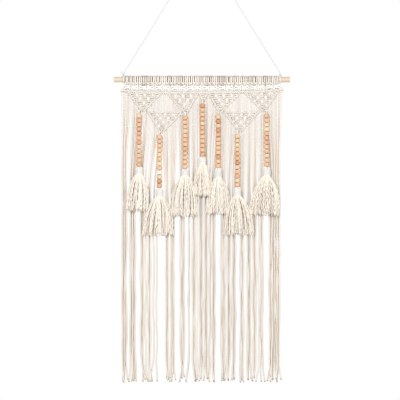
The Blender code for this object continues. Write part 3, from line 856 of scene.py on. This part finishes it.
def make_fringe():
    """Every strand from the knotted edge down, section by section, each in its bunch."""
    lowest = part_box("fringe_lower_1")[0].z
    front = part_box("fringe_upper_1")[0].y + CORD / 2
    k = 0
    for section, bunches in enumerate(BUNCHES, 1):
        rest = Yarn()
        number = 0
        for middle, span, ahead, behind in bunches:
            outwards = rng.normal(0, 0.0015)
            for target, hidden in bunch_places(middle, span, ahead, behind):
                x = strand_x(k)
                k += 1
                bottom = lowest + 0.0010 + abs(rng.normal(0, 0.0075))
                y = front + (LAYER_STEP if hidden else 0.0) + rng.uniform(0, 0.0005)
                line = fringe_line((x, 0.0006, edge_at(x) + 0.0020), target, y, bottom)
                line[:, 0] += outwards * smoothstep(1 - (line[:, 2] - bottom) / 0.09)
                to_end = np.linspace(length_of(line), 0, len(line))
                swell = 1 + 0.10 * smoothstep(1 - to_end / 0.006)
                # Painted shade over the last few millimetres of each cut end
                dark = 0.9 * smoothstep(1 - to_end / 0.0038)
                declared = number < DECLARED_STRANDS and not hidden
                yarn = Yarn() if declared else rest
                # Each strand grows darker towards its lower end. Back strands get more tint and flank,
                # painted shade
                darker_below = smoothstep((line[0, 2] - line[:, 2] - 0.10) / 0.30)
                # where they lie behind the front ones; flank paints shade on every strand's sides
                tint = (rng.uniform(0.3, 0.8) if hidden else rng.uniform(0, 0.15)) + 0.35 * darker_below
                flank = rng.uniform(*((0.55, 1.1) if hidden else (0.35, 0.85))) * (0.75 + 0.55 * darker_below)
                yarn.cord(line, CORD, swell=swell, tint=tint, end=dark, flank=np.minimum(flank, 1.0))
                if declared:
                    number += 1
                    finish_fringe(yarn, f"fringe_strand_{section}_{number}", section)
        finish_fringe(rest, f"fringe_strands_{section}", section)


def finish_fringe(yarn, name, section):
    """Makes the strands one piece, puts its place into its mesh, and hides the section's two fringe nodes.
    """
    piece = yarn.piece(name, COTTON)
    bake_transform(piece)
    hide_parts(f"fringe_upper_{section}", f"fringe_lower_{section}")


# ---------------------------------------------------------------- bead strings and tassels

def make_beads(k):
    """The turned beads of one string, each a rounded barrel with its own tone, size and tilt."""
    low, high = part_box(f"beads_{k}")
    centre = ((low.x + high.x) / 2, (low.y + high.y) / 2)
    pitch = (high.z - low.z) / BEADS_PER_STRING
    radius = (high.x - low.x) / 2
    turn = np.arange(BEAD_SIDES) / BEAD_SIDES * 2 * math.pi
    points, quads, tones, grains = [], [], [], []
    for i in range(BEADS_PER_STRING):
        flat = pitch * rng.uniform(0.475, 0.492)
        size = radius * rng.uniform(1.08, 1.13)
        profile = [(BEAD_BORE, flat * 0.6)] + [
            (max(BEAD_BORE + 0.0005, size * math.sin(a) ** 0.45),
             flat * math.copysign(abs(math.cos(a)) ** 0.8, math.cos(a)))
            for a in np.linspace(0.12, math.pi - 0.12, 17)
        ] + [(BEAD_BORE, -flat * 0.6)]
        block = np.vstack([np.stack([r * np.cos(turn), r * np.sin(turn), np.full(BEAD_SIDES, z)], 1)
                           for r, z in profile])
        tilt = rng.normal(0, 0.035, 2)
        tilted = block + np.stack([block[:, 2] * tilt[0], block[:, 2] * tilt[1],
                                   -block[:, 0] * tilt[0] - block[:, 1] * tilt[1]], 1)
        points.append(tilted + (centre[0], centre[1], high.z - (i + 0.5) * pitch))

        rings = len(profile)
        ring, side = np.meshgrid(np.arange(rings), np.arange(BEAD_SIDES), indexing="ij")
        here, below = ring * BEAD_SIDES, (ring + 1) % rings * BEAD_SIDES
        aside = (side + 1) % BEAD_SIDES
        quads.append(i * len(block) + np.stack([here + side, below + side, below + aside, here + aside],
                                               -1).reshape(-1, 4))

        grain_turn = rng.uniform(0, math.pi)
        c, s = math.cos(grain_turn), math.sin(grain_turn)
        grains.append(block @ np.array([[c, 0, s], [0, 1, 0], [-s, 0, c]]) + rng.uniform(-1, 1, 3))
        tone = np.array(TONES[rng.integers(len(TONES))]) * rng.uniform(0.89, 1.02)
        if (k, i) == (PALE_STRING, PALE_BEAD):
            tone = np.array(PALE_TONE)
        # Painted shade near each bead's flat faces, where it meets its neighbours
        pole_shade = 1 - 0.4 * smoothstep((abs(block[:, 2:]) / flat - 0.72) / 0.3)
        tones.append(np.c_[np.clip(tone, 0, 1) * pole_shade, np.ones(len(block))])
    beads = mesh_piece(f"wooden_beads_{k}", np.vstack(points), np.vstack(quads), np.zeros((0, 3), int),
                       BEAD_WOOD, colours={"tone": np.vstack(tones)}, vectors={"grain": np.vstack(grains)})
    place_on(beads, f"bead_stack_{k}", "bead_wood", f"beads_{k}")


def make_bead_hitch(k, x, y, top):
    """Two turns of thin cord where a bead string is tied to its net."""
    hitch = Yarn()
    for turn in range(2):
        loop = [(x + 0.0021 * math.cos(a), y - 0.0002 + 0.0019 * math.sin(a) * (0.8 + 0.2 * turn),
                 top + 0.0012 - 0.0024 * turn + 0.0007 * math.sin(a + 1))
                for a in np.linspace(0, 2 * math.pi, 18)]
        hitch.cord(smooth_line(loop, 0.0009), BEAD_HITCH_CORD, sides=8, lay=0.007)
    return place_on(hitch.piece(f"hitch_{k}", COTTON), f"string_{k}", "cotton")


def make_tassel_head(k, middle):
    """Strands folded over the core cord's end, bound by a close coil of cord."""
    low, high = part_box(f"tassel_head_{k}")
    radius = (high.x - low.x) / 2 - HEAD_WRAP / 2
    length = high.z - low.z
    wraps = max(6, int((length - 0.0045) / (HEAD_WRAP * 0.94)))
    angle = np.linspace(0, 2 * math.pi * wraps, wraps * 26)
    down = angle / angle[-1]
    waist = 1.02 + 0.07 * np.sin(down * math.pi) + 0.02 * (down - 0.5)
    coil = np.stack([
        middle[0] + 1.10 * radius * waist * np.cos(angle), middle[1] + radius * waist * np.sin(angle),
        high.z - 0.0040 - down * (length - 0.0055) + 0.0002 * np.sin(angle * 0.37),
    ], 1)
    head = Yarn()
    head.cord(coil, HEAD_WRAP, sides=7, lay=0.007, tint=0.0, flank=0.1)
    for i in range(16):
        a = i / 16 * 2 * math.pi + rng.uniform(-0.1, 0.1)
        fold = [(middle[0] + r * math.cos(a), middle[1] + r * math.sin(a), high.z - drop)
                for r, drop in ((0.0024, 0.0015), (0.0036, 0.0003), (radius * 0.72, 0.0014),
                                (radius * 0.88, 0.0042), (radius * 0.80, 0.0080))]
        head.cord(smooth_line(fold, 0.0010), SKIRT_CORD, sides=7, lay=0.009)
    for a in np.linspace(0, 2 * math.pi, 20, endpoint=False):
        x, y = middle[0] + radius * 0.80 * math.cos(a), middle[1] + radius * 0.80 * math.sin(a)
        fill = [(x, y, high.z - 0.005), (x, y, (low.z + high.z) / 2), (x, y, low.z)]
        head.cord(smooth_line(fill, 0.003), SKIRT_CORD, sides=6, lay=0.012)
    piece = head.piece(f"tassel_wrap_{k}", WHITE_COTTON)
    return place_on(piece, f"string_{k}", "cotton", f"tassel_head_{k}")


def make_skirt(k, middle):
    """Loose crimped strands that flare from the head to ragged ends. Every other one is in the skin."""
    node = f"tassel_skirt_{k}"
    points = vertices_of(node)
    low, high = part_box(node)
    bottom = points[points[:, 2] < low.z + 0.0005]
    foot = (bottom[:, 0].min() + bottom[:, 0].max()) / 2
    half = np.ptp(bottom[:, 0]) / 2 * (1.05 if 3 <= k <= 5 else 1.13) - 0.0010
    deep = np.ptp(bottom[:, 1]) / 2 - 0.0008
    t = np.linspace(0, 1, 22)
    flare = 1 - (1 - t) ** 2.6
    loose = smoothstep(t * 4)
    skirt = Yarn()
    for i in range(SKIRT_STRANDS):
        spread = rng.uniform(0.90, 1.0) if i % 2 else math.sqrt(rng.uniform(0.12, 0.9))
        a = i // 2 * GOLDEN_ANGLE + rng.uniform(-0.05, 0.05)
        across, along = math.cos(a) * spread, math.sin(a) * spread
        crimp = rng.uniform(0.0003, 0.0011)
        wave = rng.uniform(0.010, 0.018)
        phase = rng.uniform(0, 6.3)
        length = (high.z - low.z) * rng.uniform(0.90, 0.998) + 0.003
        sway = rng.normal(0, 0.0018) * np.sin(t * 3.1) + rng.normal(0, 0.0022) * t ** 2
        bends = 2 * math.pi * t * length / wave + phase
        x = middle[0] + (foot - middle[0]) * t + across * (SKIRT_TOP_HALF + (half - SKIRT_TOP_HALF) * flare)
        x = x + sway + crimp * loose * np.sin(bends)
        y = middle[1] + along * (SKIRT_TOP_HALF + (deep - SKIRT_TOP_HALF) * flare)
        y = y + 0.4 * crimp * loose * np.cos(bends)
        z = high.z + 0.003 - t * length
        line = smooth_line(np.stack([x, y, z], 1), 0.0021)
        to_end = np.linspace(1, 0, len(line)) * length
        # Painted shade at each strand's cut end, and a little on its flanks
        dark = 0.5 * smoothstep(1 - to_end / 0.0022)
        skirt.cord(line, SKIRT_CORD * rng.uniform(0.85, 1.15), sides=7, lay=0.0115,
                   tint=rng.uniform(0, 0.7), end=dark, flank=0.12)
    place_on(skirt.piece(f"tassel_strands_{k}", SKIRT_COTTON), f"string_{k}", "cotton", node)


def make_string(k):
    """The core cord of a bead string from its hitch to its tassel."""
    low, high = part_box(f"tassel_cord_{k}")
    x, y = (low.x + high.x) / 2, (low.y + high.y) / 2
    head_low, head_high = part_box(f"tassel_head_{k}")
    middle = ((head_low.x + head_high.x) / 2, (head_low.y + head_high.y) / 2)
    line = smooth_line([(x, y, z) for z in np.linspace(high.z - 0.0022, head_high.z - 0.007, 16)], 0.002)
    yarn = Yarn()
    yarn.cord(line, CORE_CORD, sides=9)
    core = place_on(yarn.piece(f"core_cord_{k}", COTTON), f"string_{k}", "cotton", f"tassel_cord_{k}")
    hitch = make_bead_hitch(k, x, y, high.z - 0.0034)
    head = make_tassel_head(k, middle)
    make_skirt(k, middle)


# ---------------------------------------------------------------- stage

def look_at(obj, target):
    x, y, z = np.subtract(target, obj.location)
    obj.rotation_euler = (math.atan2(math.hypot(x, y), -z), 0, math.atan2(-x, y))


def area_light(name, place, target, size, power):
    lamp = bpy.data.lights.new(name, "AREA")
    lamp.shape = "DISK"
    lamp.size = size
    lamp.energy = power
    lamp.color = LAMP_COLOUR
    made = bpy.data.objects.new(name, lamp)
    made.location = place
    bpy.context.scene.collection.objects.link(made)
    look_at(made, target)


def make_camera():
    camera = bpy.data.cameras.new("camera")
    camera.sensor_width = SENSOR_WIDTH
    camera.lens = SENSOR_WIDTH * VIEW_DISTANCE / VIEW_SPAN
    made = bpy.data.objects.new("camera", camera)
    made.location = (VIEW_MIDDLE[0], -VIEW_DISTANCE, VIEW_MIDDLE[2])
    made.rotation_euler = (math.pi / 2, 0, 0)
    bpy.context.scene.collection.objects.link(made)
    bpy.context.scene.camera = made


def make_world():
    """White surroundings that light the piece less brightly than they look."""
    world = bpy.data.worlds.new("studio")
    world.use_nodes = True
    tree = world.node_tree
    shade = tree.nodes["Background"]
    seen = tree.nodes.new("ShaderNodeLightPath").outputs["Is Camera Ray"]
    strength = tree.nodes.new("ShaderNodeMapRange")
    strength.inputs["To Min"].default_value = WORLD_LIGHT
    strength.inputs["To Max"].default_value = 1.0
    tree.links.new(seen, strength.inputs["Value"])
    tree.links.new(strength.outputs[0], shade.inputs[1])
    shade.inputs[0].default_value = (1.0, 1.0, 1.0, 1.0)
    bpy.context.scene.world = world
    bpy.context.scene.view_settings.view_transform = "Standard"


def make_floor():
    bpy.ops.mesh.primitive_grid_add(x_subdivisions=8, y_subdivisions=8, size=3, location=(0, -0.1, -1.45))
    floor = bpy.context.object
    floor.name = "floor"
    floor.data.materials.append(plain("pale_floor", (0.9, 0.9, 0.9), 0.9))


def make_stage():
    make_camera()
    make_world()
    area_light("key", (-0.7, -2.9, 0.3), (0, 0, -0.6), 1.8, KEY_POWER)
    area_light("fill", (1.5, -2.4, -0.4), (0, 0, -0.7), 1.4, FILL_POWER)
    make_floor()


make_stage()
make_fringe()
for index in range(1, STRING_COUNT + 1):
    make_beads(index)
    make_string(index)
make_dowel()
make_hanger_string()
make_tied_loop("left", -1)
make_tied_loop("right", 1)
make_lark_heads()
make_header()
make_bar()
for made_net in NETS:
    make_net(made_net)
make_gap_strands("left", LOWER_NETS[0])
make_gap_strands("right", LOWER_NETS[1])
